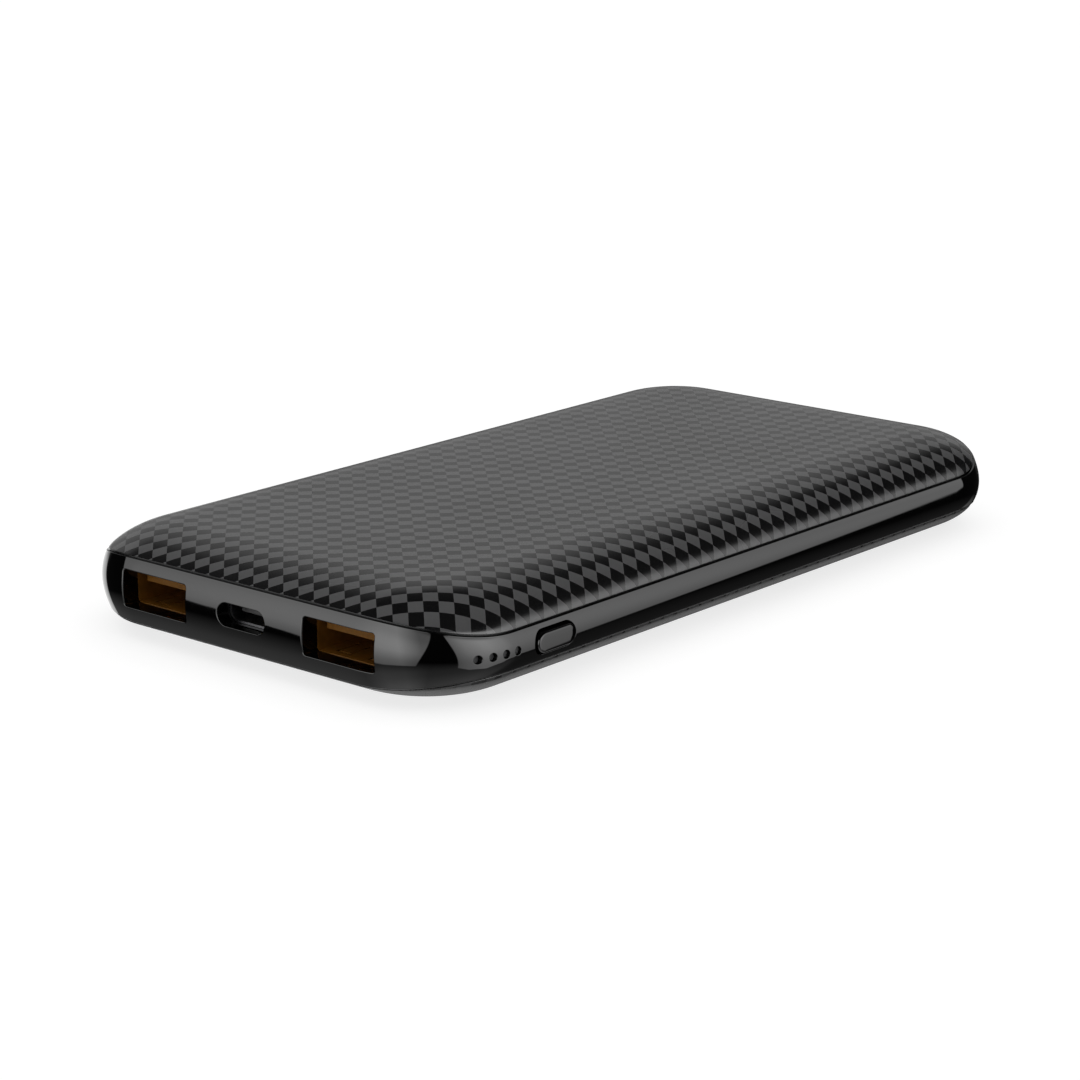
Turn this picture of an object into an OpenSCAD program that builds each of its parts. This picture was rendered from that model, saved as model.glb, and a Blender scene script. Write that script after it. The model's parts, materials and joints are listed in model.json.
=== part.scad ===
// Slim power bank: two curved covers on a glossy band, with USB-A, USB-C and USB-A sockets
// across one short end, and a power button with four charge lights on the long side.
// Millimetres. +Z up, +X to the light side, -Y the socket end. Origin: centre of the base.

/* [Body] */
// Overall width, across the band
body_w = 73; // [72.9:0.1:74]
// Overall length, across the band
body_l = 136; // [135.9:0.1:139]
// Overall thickness
body_t = 15; // [14.8:0.1:15.6]
// Radius of the four corners in plan, at the cover's rim
corner_r = 14; // [13:0.5:15]
// Width of the curved border around each cover's flat face
border_w = 11.7; // [11:0.1:12.5]

/* [Covers] */
// Drop of the top cover from its flat face to its rim, at the two ends
top_drop_end = 2.75; // [2.6:0.05:3]
// The same drop along the two long sides
top_drop_side = 5.4; // [5.2:0.05:5.5]
// Rise of the bottom cover from its flat face to its rim, at the two ends
base_rise_end = 3; // [2.7:0.05:3.1]
// The same rise along the two long sides
base_rise_side = 4.5; // [4.3:0.05:4.6]
// Thickness of a cover
cover_t = 1.3; // [1.2:0.05:1.4]
// Shadow gap left between a cover's edge and the band
reveal = 0.2; // [0.1:0.05:0.25]

/* [Band] */
// Step from a cover's rim out to the band's edge
band_step = 0.3; // [0.2:0.05:0.35]
// How far the band bulges beyond that edge at mid height
band_bulge = 0.8; // [0.7:0.05:0.85]
// Thickness of the band's wall, inwards from the covers' rim
band_wall = 1.7; // [1.65:0.05:1.75]

/* [Sockets] */
// Centre of the left USB-A socket, across the width
usb_a_left_x = -16.6; // [-17:0.1:-16.5]
// Centre of the right USB-A socket
usb_a_right_x = 18.3; // [17.8:0.1:18.4]
// Centre of the USB-C socket
usb_c_x = 0.5; // [-0.4:0.1:0.8]
// Height of the USB-A sockets' centres
usb_a_z = 7.9; // [7.8:0.05:8]
// Height of the USB-C socket's centre
usb_c_z = 8; // [7.9:0.05:8.1]

/* [Button and lights] */
// Place of the button along the side
button_y = -45.4; // [-46:0.1:-45]
// Height of the button and the lights
button_z = 7.2; // [7.1:0.05:7.3]
// Length of the button
button_l = 7.6; // [7:0.1:7.8]
// Height of the button's face
button_h = 2.8; // [2.6:0.1:3]
// Travel of the button
button_travel = 0.3; // [0.2:0.05:0.35]
// Place of the light nearest the button
light_y = -52.9; // [-53.2:0.1:-52.7]
// Distance from one light to the next
light_pitch = 2.1; // [2:0.05:2.2]

/* [Cells] */
// Width of a battery cell
cell_w = 57; // [54:0.5:57]
// Length of a battery cell's body
cell_l = 88; // [84:1:88]
// Thickness of a battery cell
cell_t = 5.4; // [5.2:0.05:5.4]

/* [Hidden] */
$fn = 48;
eps = 0.01;

// Body outline and the seams between covers and band
rim_out = band_step + band_bulge;
rim_x = body_w / 2 - rim_out;
rim_y = body_l / 2 - rim_out;
arc_x = rim_x - corner_r;
arc_y = rim_y - corner_r;
seam_top_end = body_t - top_drop_end;
seam_top_side = body_t - top_drop_side;
arc_steps = 10;
profile_steps = 11;
profile_power = 2.35;
side_roundness = 1.4;
lip_gap = 0.05;
lip_in = 2.55;
lip_h = 1.2;
groove_d = 0.4;
seat_gap = 0.03;

// Snap beads on the covers' lips and their pockets in the band
bead_l = 6;
bead_out = 0.35;
bead_h = 0.5;
bead_x = rim_x - band_wall;
bead_top_z = seam_top_side - 0.9;
bead_base_z = base_rise_side + 0.4;
bead_y_list = [-28, 0, 28, 50];

// Circuit board
board_top = 6.4;
board_t = 1;
board_rim = 2.8;
board_back = -38;
boss_r = 1.9;
boss_list = [[-28.4, -56], [-28.4, -41], [28.4, -41]];
screw_r = 0.85;
screw_gap = 0.01;
screw_head_r = 1.5;

// Cross rib that stiffens the band behind the board: a tie to both walls and a taller middle
rib_y = -37.2;
rib_t = 1.2;
rib_tie_z = 5.9;
rib_tie_h = 2.3;
rib_tie_w = 2 * (rim_x - band_wall + 0.1);
rib_z = 3.2;
rib_h = 8.2;
rib_w = 58;
lead_notch_w = 2.4;
lead_notch_z = 8.3;

// Pad behind the band's front wall, which the sockets butt against
port_pad_t = 0.1;
port_pad_z = 4.5;
port_pad_h = 6.4;
port_pad_side = 8.7;
port_pad_left = usb_a_left_x - port_pad_side;
port_pad_right = usb_a_right_x + port_pad_side - 0.4;
port_wall = rim_out + band_wall + port_pad_t;

// USB-A sockets: 12.5 x 5.12 mm inside, as the standard has it
usb_a_in_w = 12.5;
usb_a_in_h = 5.12;
usb_sheet = 0.3;
usb_a_len = 14;
usb_a_mouth_w = 12.6;
usb_a_mouth_h = 5.3;
usb_a_seat_gap = 0.04;
usb_a_seat_l = 3;
usb_a_front = -rim_y - rim_out + port_wall + 0.05;
tongue_w = 11.1;
tongue_t = 1.84;
tongue_l = 9;
tongue_rise = 0.42;
insulator_l = 3.6;
finger_slit_w = 0.3;
finger_w = 2.3;
finger_l = 4.4;
finger_x = 2.9;
finger_y = 1.2;
shell_foot_y_list = [5, 10];

// USB-C socket: 8.94 x 3.16 mm outside
usb_c_w = 8.94;
usb_c_h = 3.16;
usb_c_len = 7.3;
usb_c_front = -rim_y - rim_out + 2.4;
usb_c_leg_x = 4.32;
usb_c_leg_y_list = [1.8, 5.4];
usb_c_mouth_w = 9.05;
usb_c_mouth_h = 3.27;
usb_c_tongue_w = 6.69;
usb_c_tongue_t = 0.7;

// Button, switch and lights
button_gap = 0.35;
button_proud = 0.45;
button_face_x = body_w / 2 + button_proud;
flange_x = rim_x - band_wall - 0.1;
flange_t = 0.8;
switch_x = rim_x - 5;
switch_w = 6;
switch_front = switch_x + 1.6;
light_count = 4;
light_r = 0.45;
light_hole_r = 0.58;
light_recess = 0.4;
guide_x = rim_x - 6.3;
guide_w = 1.2;
guide_h = 1.4;

// Cells, one above the other
lower_cell_z = 1.9;
tape_t = 0.2;
upper_cell_z = lower_cell_z + cell_t + tape_t;
cell_front = -31;
terrace_l = 4;
terrace_t = 0.4;
tab_w = 6;
tab_t = 0.15;
tab_x_list = [-12, 12];
tab_y = cell_front - terrace_l - 0.9;
guard_z = 7;
guard_t = 0.8;
lead_r = 0.75;
lead_x_list = [-8, 8];
lead_bend = 1.2;
lead_top = 9.2;

// Profile of a cover: 0 at the flat face, 1 at the rim. k runs the same way.
function profile(k, roundness) = 1 - pow(1 - pow(k, profile_power), 1 / roundness);

// One ring of points around the body, i in from the rim. Heights blend from side to end.
function ring(i, z_end, z_side) = [
    for (q = [0:3], j = [0:arc_steps])
        let (a = 90 * (q + j / arc_steps), w = pow(sin(a), 2))
            [
                (q == 0 || q == 3 ? arc_x : -arc_x) + (corner_r - i) * cos(a),
                (q < 2 ? arc_y : -arc_y) + (corner_r - i) * sin(a),
                z_end * w + z_side * (1 - w)
            ]
];

// Rings of a cover's curved border, from its flat face at z_flat out to a rim at inset rim_i
function border(z_flat, z_end, z_side, rim_i) = [
    for (s = [0:profile_steps])
        let (
            k = pow(s / profile_steps, 0.62),
            i = border_w - (border_w - rim_i) * k,
            z_e = z_flat + (z_end - z_flat) * profile(k, 1),
            z_s = z_flat + (z_side - z_flat) * profile(k, side_roundness)
        ) ring(i, z_e, z_s)
];

// Solid through a list of rings: capped at both ends, or joined round into a loop
module skin(rings, loop = false) {
    n = len(rings[0]);
    m = len(rings);
    points = [for (r = rings, p = r) p];
    walls = [
        for (r = [0:(loop ? m - 1 : m - 2)], j = [0:n - 1])
            let (
                a = r * n + j,
                b = r * n + (j + 1) % n,
                c = ((r + 1) % m) * n + j,
                d = ((r + 1) % m) * n + (j + 1) % n
            ) each [[a, b, c], [b, d, c]]
    ];
    caps = loop ? [] : [[for (j = [n - 1:-1:0]) j], [for (j = [0:n - 1]) (m - 1) * n + j]];
    polyhedron(points, concat(walls, caps), convexity = 6);
}

module rounded_plate(w, l, r, t) {
    linear_extrude(t) {
        square([w - 2 * r, l], center = true);
        square([w, l - 2 * r], center = true);
        for (x = [-1, 1], y = [-1, 1]) {
            translate([x * (w / 2 - r), y * (l / 2 - r)]) circle(r);
        }
    }
}

// A slot-shaped bar along +X, centred on the axis
module slot_bar_x(length, height, depth) {
    rotate([90, 0, 90]) linear_extrude(depth) slot_outline(length, height);
}

module slot_outline(length, height) {
    square([length - height, height], center = true);
    for (s = [-1, 1]) {
        translate([s * (length - height) / 2, 0]) circle(height / 2);
    }
}

// A box centred in X and Z that starts at y and runs back
module box_back(w, depth, h) {
    translate([-w / 2, 0, -h / 2]) cube([w, depth, h]);
}

// Skin of a cover: curved face, rim with a shadow groove, and a lip inside the band
module cover_shell(flat_z, in_z, end_z, side_z, up) {
    skin(concat(
        border(flat_z, end_z + up * reveal, side_z + up * reveal, 0),
        [
            ring(groove_d, end_z + up * reveal, side_z + up * reveal),
            ring(groove_d, end_z + up * seat_gap, side_z + up * seat_gap),
            ring(band_wall + lip_gap, end_z + up * seat_gap, side_z + up * seat_gap),
            ring(band_wall + lip_gap, end_z - up * lip_h, side_z - up * lip_h),
            ring(lip_in, end_z - up * lip_h, side_z - up * lip_h)
        ],
        [for (s = [profile_steps:-1:0]) border(in_z, end_z, side_z, lip_in)[s]]
    ));
}

module snap_beads(z, grow) {
    for (s = [-1, 1], y = bead_y_list) {
        translate([s * bead_x - bead_out - grow, y - bead_l / 2 - grow, z - grow]) {
            cube([2 * (bead_out + grow), bead_l + 2 * grow, bead_h + 2 * grow]);
        }
    }
}

// Room for the button's flange, cut from a cover's lip
module button_notch(z) {
    notch_l = button_l + 4;
    translate([rim_x - lip_in - 0.2, button_y - notch_l / 2, z]) {
        cube([lip_in - band_wall + 0.25, notch_l, lip_h + 0.1 + seat_gap]);
    }
}

module top_cover() {
    color("#3b3b3d") {
        difference() {
            cover_shell(body_t, body_t - cover_t, seam_top_end, seam_top_side, 1);
            button_notch(seam_top_side - lip_h - 0.1);
        }
        snap_beads(bead_top_z, 0);
    }
}

module bottom_cover() {
    color("#303032") {
        difference() {
            union() {
                mirror([0, 0, 1]) {
                    cover_shell(0, -cover_t, -base_rise_end, -base_rise_side, 1);
                }
                snap_beads(bead_base_z, 0);
                for (p = boss_list) {
                    translate([p[0], p[1], cover_t - 0.3]) {
                        cylinder(r = boss_r, h = board_top - board_t - cover_t + 0.3);
                    }
                }
            }
            for (p = boss_list) {
                translate([p[0], p[1], board_top - board_t - 3.1]) {
                    cylinder(r = screw_r + screw_gap, h = 4);
                }
            }
            button_notch(base_rise_side - seat_gap);
        }
    }
}

// Band: a bulged ring with the socket mouths, light holes, button slot and cross rib
module band_ring() {
    steps = 8;
    out = [
        for (s = [0:steps])
            let (
                t = s / steps,
                i = -band_step - band_bulge * (1 - pow(2 * t - 1, 2)),
                z_e = base_rise_end + (seam_top_end - base_rise_end) * t,
                z_s = base_rise_side + (seam_top_side - base_rise_side) * t
            ) ring(i, z_e, z_s)
    ];
    inner = [
        ring(band_wall, seam_top_end, seam_top_side),
        ring(band_wall, base_rise_end, base_rise_side)
    ];
    ordered = concat(out, inner);
    skin([for (k = [len(ordered) - 1:-1:0]) ordered[k]], loop = true);
}

// Mouth in the front wall, and a seat behind it that clears the shell where the wall turns the corner
module usb_a_mouth(x) {
    seat_w = usb_a_in_w + 2 * (usb_sheet + usb_a_seat_gap);
    seat_h = usb_a_in_h + 2 * (usb_sheet + usb_a_seat_gap);
    translate([x, -rim_y - rim_out - 1, usb_a_z]) box_back(usb_a_mouth_w, 6, usb_a_mouth_h);
    translate([x, usb_a_front - usb_a_seat_gap, usb_a_z]) box_back(seat_w, usb_a_seat_l, seat_h);
}

module mid_frame() {
    color("#141416") {
        difference() {
            union() {
                band_ring();
                translate([port_pad_left, -rim_y + band_wall - 0.1, port_pad_z]) {
                    cube([port_pad_right - port_pad_left, port_pad_t + 0.1, port_pad_h]);
                }
                translate([-rib_tie_w / 2, rib_y - rib_t / 2, rib_tie_z]) {
                    cube([rib_tie_w, rib_t, rib_tie_h]);
                }
                translate([-rib_w / 2, rib_y - rib_t / 2, rib_z]) cube([rib_w, rib_t, rib_h]);
            }
            usb_a_mouth(usb_a_left_x);
            usb_a_mouth(usb_a_right_x);
            translate([usb_c_x, -rim_y - rim_out - 1, usb_c_z]) {
                rotate([-90, 0, 0]) linear_extrude(6) {
                    slot_outline(usb_c_mouth_w, usb_c_mouth_h);
                }
            }
            translate([rim_x - band_wall - 1, button_y, button_z]) {
                slot_bar_x(button_l + 2 * button_gap, button_h + 2 * button_gap, 6);
            }
            for (k = [0:light_count - 1]) {
                translate([guide_x, light_y - k * light_pitch, button_z]) {
                    rotate([0, 90, 0]) cylinder(r = light_hole_r, h = 10);
                }
            }
            snap_beads(bead_top_z, 0.1);
            snap_beads(bead_base_z, 0.1);
            for (x = lead_x_list) {
                translate([x - lead_notch_w / 2, rib_y - rib_t, lead_notch_z]) {
                    cube([lead_notch_w, 2 * rib_t, rib_h]);
                }
            }
        }
    }
}

// Main circuit board, with notches that let the USB-A sockets sink into it
module circuit_board() {
    board_r = corner_r - board_rim;
    color("#1d5c36") {
        difference() {
            intersection() {
                translate([0, 0, board_top - board_t]) {
                    rounded_plate(2 * (rim_x - board_rim), 2 * (rim_y - board_rim), board_r, board_t);
                }
                translate([-body_w / 2, -body_l / 2, 0]) {
                    cube([body_w, body_l / 2 + board_back, body_t]);
                }
            }
            for (x = [usb_a_left_x, usb_a_right_x]) {
                translate([x, usb_a_front - 5, board_top]) {
                    box_back(usb_a_in_w + 2 * usb_sheet + 0.4, usb_a_len + 5.2, 4);
                }
            }
            for (x = [-usb_c_leg_x, usb_c_leg_x], y = usb_c_leg_y_list) {
                translate([usb_c_x + x, usb_c_front + y - 0.1, board_top]) box_back(0.5, 1.2, 4);
            }
            for (p = boss_list) {
                translate([p[0], p[1], 0]) cylinder(r = 1, h = body_t);
            }
            translate([switch_front + 0.1, button_y - 6, 0]) cube([5, 12, body_t]);
        }
    }
}

module board_screws() {
    color("silver") {
        for (p = boss_list) {
            translate([p[0], p[1], board_top]) {
                difference() {
                    union() {
                        cylinder(r = screw_head_r, h = 0.9);
                        translate([0, 0, -4]) cylinder(r = screw_r, h = 4 + eps);
                    }
                    for (a = [0, 90]) {
                        rotate([0, 0, a]) translate([-0.8, -0.15, 0.4]) cube([1.6, 0.3, 1]);
                    }
                }
            }
        }
    }
}

// Spring finger cut: a U-shaped slit through a sheet that lies in the XY plane
module finger_slit() {
    for (s = [-1, 1]) {
        translate([(s * finger_w - finger_slit_w) / 2, 0, -1]) cube([finger_slit_w, finger_l, 2]);
    }
    translate([-(finger_w + finger_slit_w) / 2, 0, -1]) {
        cube([finger_w + finger_slit_w, 1.5 * finger_slit_w, 2]);
    }
}

// USB-A socket shell: folded sheet, open at the front, with two spring fingers cut in its floor
module usb_a_shell() {
    outer_w = usb_a_in_w + 2 * usb_sheet;
    outer_h = usb_a_in_h + 2 * usb_sheet;
    color("#b8742a") {
        difference() {
            box_back(outer_w, usb_a_len, outer_h);
            translate([0, -1, 0]) box_back(usb_a_in_w, usb_a_len + 1 - usb_sheet, usb_a_in_h);
            for (s = [-1, 1]) {
                translate([s * finger_x, finger_y, -outer_h / 2]) finger_slit();
            }
        }
        for (s = [-1, 1], y = shell_foot_y_list) {
            translate([s * (outer_w / 2 + 0.6), y, board_top - usb_a_z + 0.15]) box_back(1.4, 2, 0.3);
        }
    }
}

// Insulator: a back block that fills the shell and the contact tongue
module usb_a_tongue() {
    insulator_y = usb_a_len - usb_sheet - insulator_l;
    color("#c9791e") {
        translate([0, insulator_y, 0]) {
            box_back(usb_a_in_w - 0.04, insulator_l - 0.02, usb_a_in_h - 0.04);
        }
        translate([0, insulator_y - tongue_l, tongue_centre()]) {
            box_back(tongue_w, tongue_l + 1, tongue_t);
        }
    }
}

function tongue_centre() = usb_a_in_h / 2 - tongue_rise - tongue_t / 2;

module usb_a_contacts() {
    contact_y = usb_a_len - usb_sheet - insulator_l - 7.6;
    contact_z = tongue_centre() - tongue_t / 2 - 0.12;
    color("gold") {
        for (x = [-3.5, -1, 1, 3.5]) {
            translate([x, contact_y, contact_z]) box_back(1, 7.5, 0.24);
        }
    }
}

module place_usb_a(x) {
    translate([x, usb_a_front, usb_a_z]) children();
}

module left_usb_a_shell() { place_usb_a(usb_a_left_x) usb_a_shell(); }
module left_usb_a_tongue() { place_usb_a(usb_a_left_x) usb_a_tongue(); }
module left_usb_a_contacts() { place_usb_a(usb_a_left_x) usb_a_contacts(); }
module right_usb_a_shell() { place_usb_a(usb_a_right_x) usb_a_shell(); }
module right_usb_a_tongue() { place_usb_a(usb_a_right_x) usb_a_tongue(); }
module right_usb_a_contacts() { place_usb_a(usb_a_right_x) usb_a_contacts(); }

module place_usb_c() {
    translate([usb_c_x, usb_c_front, usb_c_z]) children();
}

module usb_c_shell() {
    color("silver") place_usb_c() {
        rotate([-90, 0, 0]) difference() {
            linear_extrude(usb_c_len) slot_outline(usb_c_w, usb_c_h);
            translate([0, 0, -1]) linear_extrude(usb_c_len) {
                slot_outline(usb_c_w - 2 * usb_sheet, usb_c_h - 2 * usb_sheet);
            }
        }
        for (x = [-usb_c_leg_x, usb_c_leg_x], y = usb_c_leg_y_list) {
            translate([x, y, -1.65]) box_back(usb_sheet, 1, 3.3);
        }
    }
}

module usb_c_tongue() {
    color("#1a1a1a") place_usb_c() {
        translate([0, 1.2, 0]) box_back(usb_c_tongue_w, usb_c_len - 2.2, usb_c_tongue_t);
        translate([0, usb_c_len - 2.6, 0]) {
            rotate([-90, 0, 0]) linear_extrude(1.58) {
                slot_outline(usb_c_w - 2 * usb_sheet - 0.04, usb_c_h - 2 * usb_sheet - 0.04);
            }
        }
    }
}

module usb_c_contacts() {
    color("gold") place_usb_c() {
        for (k = [0:5], s = [-1, 1]) {
            translate([(k - 2.5) * 0.95, 1.6, s * (usb_c_tongue_t / 2 + 0.04)]) {
                box_back(0.35, 2.9, 0.08);
            }
        }
    }
}

// Button: slot-shaped cap with a flange behind the band's wall
module power_button() {
    color("#1a1a1c") translate([0, button_y, button_z]) {
        translate([flange_x - flange_t + eps, 0, 0]) {
            slot_bar_x(button_l, button_h, button_face_x - flange_x + flange_t - eps);
        }
        translate([flange_x - flange_t, 0, 0]) slot_bar_x(button_l + 1.8, button_h + 1.2, flange_t - 0.25);
    }
}

module switch_body() {
    color("#222222") translate([switch_x, button_y, board_top]) {
        difference() {
            translate([0, -switch_w / 2, 0]) cube([switch_front - switch_x, switch_w, 1.7]);
            translate([0.6, 0, button_z - board_top]) rotate([0, 90, 0]) cylinder(r = 0.66, h = 3);
        }
    }
}

module switch_cover() {
    color("silver") translate([switch_x - 0.2, button_y, board_top]) {
        translate([0, -switch_w / 2, 1.7]) cube([switch_front - switch_x + 0.2, switch_w, 0.2]);
        translate([0, -switch_w / 2, 0]) cube([0.2, switch_w, 1.9]);
    }
}

module switch_plunger() {
    color("white") translate([switch_x + 1, button_y, button_z]) {
        rotate([0, 90, 0]) cylinder(r = 0.6, h = flange_x - flange_t - switch_x - 1);
    }
}

module light_guide() {
    guide_l = (light_count - 1) * light_pitch + guide_h;
    color("#3a3a3c") {
        translate([guide_x, light_y + guide_h / 2 - guide_l, button_z - guide_h / 2]) {
            cube([guide_w, guide_l, guide_h]);
        }
        for (k = [0:light_count - 1]) {
            translate([guide_x + guide_w - eps, light_y - k * light_pitch, button_z]) {
                rotate([0, 90, 0]) cylinder(r = light_r, h = light_reach(k) - guide_x - guide_w);
            }
        }
    }
}

// X of the band's face at light k, less a small recess
function light_reach(k) =
    let (
        y = light_y - k * light_pitch,
        dy = max(0, -arc_y - y),
        r = corner_r + rim_out
    ) arc_x + sqrt(r * r - dy * dy) - light_recess;

module status_leds() {
    color("#e8e4d0") {
        for (k = [0:light_count - 1]) {
            translate([guide_x - 1.15, light_y - k * light_pitch - 0.75, board_top]) {
                cube([1.1, 1.5, 1.3]);
            }
        }
    }
}

module power_inductor() {
    color("#2c2c2e") translate([0, -47.5, board_top]) {
        difference() {
            rounded_plate(10, 10, 1.2, 4.2);
            translate([0, 0, 3.4]) cylinder(r = 3.6, h = 2);
        }
    }
}

module inductor_coil() {
    color("#b4652a") translate([0, -47.5, board_top + 3.4]) {
        rotate_extrude() translate([1.6, 0]) square([1.8, 0.7]);
    }
}

module charge_controller() {
    color("#1c1c1c") translate([12.5, -46, board_top]) rounded_plate(5, 5, 0.15, 0.85);
}

module boost_controller() {
    color("#1c1c1c") translate([-11.5, -47, board_top]) rounded_plate(4, 4, 0.15, 0.85);
}

module power_transistors() {
    color("#242424") {
        for (p = [[-4.9, -55], [4.9, -55], [-18.5, -40.3], [13, -40.6]]) {
            translate([p[0], p[1], board_top]) rounded_plate(3.3, 3.3, 0.15, 0.9);
        }
    }
}

module output_capacitors() {
    color("#c4c7ca") {
        for (p = [[-20.5, -45.5], [20.5, -45.5]]) {
            translate([p[0], p[1], board_top]) {
                cylinder(r = 3.15, h = 5.4);
                rounded_plate(6.6, 6.6, 1, 0.8);
            }
        }
    }
}

module ceramic_capacitors() {
    color("#a9835a") {
        for (x = [-26.2, 25, 26.3], k = [0:3]) {
            translate([x - 0.4, (x > 0 ? -50.2 : -55) + 2.2 * k, board_top]) cube([0.8, 1.6, 0.8]);
        }
    }
}

module chip_resistors() {
    color("#202020") {
        for (x = [6.8, 16.2], k = [0:4]) {
            translate([x - 0.25, -50.5 + 1.7 * k, board_top]) cube([0.5, 1, 0.35]);
        }
    }
}

// Pouch cell: soft pack with a thin sealed terrace at its front
module cell(z, terrace_z) {
    color("#b9bcc0") {
        translate([0, cell_front + cell_l / 2, z]) rounded_plate(cell_w, cell_l, 1.5, cell_t);
        translate([-cell_w / 2 + 1, cell_front - terrace_l, terrace_z]) {
            cube([cell_w - 2, terrace_l + 1, terrace_t]);
        }
    }
}

lower_terrace_z = lower_cell_z + 2.5;
upper_terrace_z = upper_cell_z + 2.5;

module upper_cell() { cell(upper_cell_z, upper_terrace_z); }
module lower_cell() { cell(lower_cell_z, lower_terrace_z); }

module cell_tape() {
    color("#e6e0c8") translate([0, cell_front + cell_l / 2, lower_cell_z + cell_t]) {
        rounded_plate(cell_w - 16, cell_l - 20, 1, tape_t);
    }
}

// Tabs: each leaves its terrace, turns towards the guard board and lies flat on it
module cell_tab(x, from_z, to_z) {
    turn_up = to_z > from_z ? 1 : -1;
    low = min(from_z, to_z);
    translate([x - tab_w / 2, tab_y, from_z]) cube([tab_w, 0.9, tab_t]);
    translate([x - tab_w / 2, tab_y, low]) cube([tab_w, tab_t, abs(to_z - from_z)]);
    translate([x - tab_w / 2, tab_y, to_z - (turn_up > 0 ? tab_t : 0)]) {
        cube([tab_w, 3, tab_t]);
    }
}

module cell_tabs() {
    color("#c9cac5") {
        for (x = tab_x_list) {
            cell_tab(x, lower_terrace_z + 0.1, guard_z);
            cell_tab(x, upper_terrace_z + 0.1, guard_z + guard_t);
        }
    }
}

module tab_insulator() {
    color("#c08a2c") translate([-cell_w / 2 + 2, cell_front - terrace_l + 0.2, upper_terrace_z + 0.45]) {
        cube([cell_w - 4, terrace_l - 0.4, 0.1]);
    }
}

module protection_board() {
    color("#235f9a") translate([-22, tab_y + tab_t + 0.05, guard_z]) {
        cube([44, -tab_y + cell_front - 0.4 - tab_t, guard_t]);
    }
}

module protection_chips() {
    color("#1c1c1c") {
        for (x = [-3, 0.2, 3.4]) {
            translate([x - 1.4, tab_y + 1.2, guard_z + guard_t]) cube([2.6, 2.6, 0.8]);
        }
    }
}

// Leads: each rises from the guard board, crosses the rib and drops to the main board
module positive_lead() {
    color("red") power_lead(lead_x_list[1]);
}

module negative_lead() {
    color("black") power_lead(lead_x_list[0]);
}

module power_lead(x) {
    guard_y = tab_y + 1.6;
    end_y = rib_y - 4.4;
    lead_half(x, guard_y, guard_z + guard_t);
    mirror([0, 1, 0]) lead_half(x, -end_y, board_top);
    translate([x, end_y + lead_bend, lead_top]) {
        rotate([-90, 0, 0]) cylinder(r = lead_r, h = guard_y - end_y - 2 * lead_bend);
    }
}

// Upright part of a lead at y and its bend towards -Y
module lead_half(x, y, z) {
    translate([x, y, z]) cylinder(r = lead_r, h = lead_top - lead_bend - z);
    translate([x, y - lead_bend, lead_top - lead_bend]) rotate([90, 0, 90]) {
        rotate_extrude(angle = 90) translate([lead_bend, 0]) circle(lead_r);
    }
}

// Temperature sensor: a bead against the upper cell and two fine legs to the main board
module temperature_sensor() {
    bead_y = cell_front - 1;
    leg_z = 11.6;
    leg_end = rib_y - 2.6;
    color("#2a2a2a") {
        translate([-14, bead_y, leg_z]) sphere(r = 0.9, $fn = 24);
        for (x = [-14.4, -13.6]) {
            translate([x - 0.15, leg_end, leg_z - 0.15]) cube([0.3, bead_y - leg_end, 0.3]);
            translate([x - 0.15, leg_end, board_top]) cube([0.3, 0.3, leg_z - board_top]);
        }
    }
}

module upper_foam_pad() {
    color("#4a4a4a") translate([0, cell_front + cell_l / 2, upper_cell_z + cell_t]) {
        rounded_plate(44, 70, 1, body_t - cover_t - upper_cell_z - cell_t);
    }
}

module lower_foam_pad() {
    color("#4a4a4a") translate([0, cell_front + cell_l / 2 - 2, cover_t]) {
        rounded_plate(44, 70, 1, lower_cell_z - cover_t);
    }
}

module end_foam_strip() {
    color("#4a4a4a") translate([-20, cell_front + cell_l, 4.5]) {
        cube([40, rim_y - band_wall - cell_front - cell_l, 6]);
    }
}

module board_insulator() {
    color("#d9cfae") translate([0, -47, cover_t]) rounded_plate(46, 17, 1, 0.25);
}

top_cover();
bottom_cover();
mid_frame();
circuit_board();
board_screws();
left_usb_a_shell();
left_usb_a_tongue();
left_usb_a_contacts();
right_usb_a_shell();
right_usb_a_tongue();
right_usb_a_contacts();
usb_c_shell();
usb_c_tongue();
usb_c_contacts();
power_button();
switch_body();
switch_cover();
switch_plunger();
light_guide();
status_leds();
power_inductor();
inductor_coil();
charge_controller();
boost_controller();
power_transistors();
output_capacitors();
ceramic_capacitors();
chip_resistors();
upper_cell();
lower_cell();
cell_tape();
cell_tabs();
tab_insulator();
protection_board();
protection_chips();
positive_lead();
negative_lead();
temperature_sensor();
upper_foam_pad();
lower_foam_pad();
end_foam_strip();
board_insulator();
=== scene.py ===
"""A slim power bank: checked covers, a glossy band with three sockets, a button and four lights.

Shapes are worked out in millimetres and written to meshes in metres. The covers, band and button
are smooth meshes that stand for their plainer CAD nodes. The other nodes keep their CAD shape.
"""

import json
import math

import bmesh
import bpy
from mathutils import Matrix, Vector
from mathutils.geometry import delaunay_2d_cdt


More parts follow.
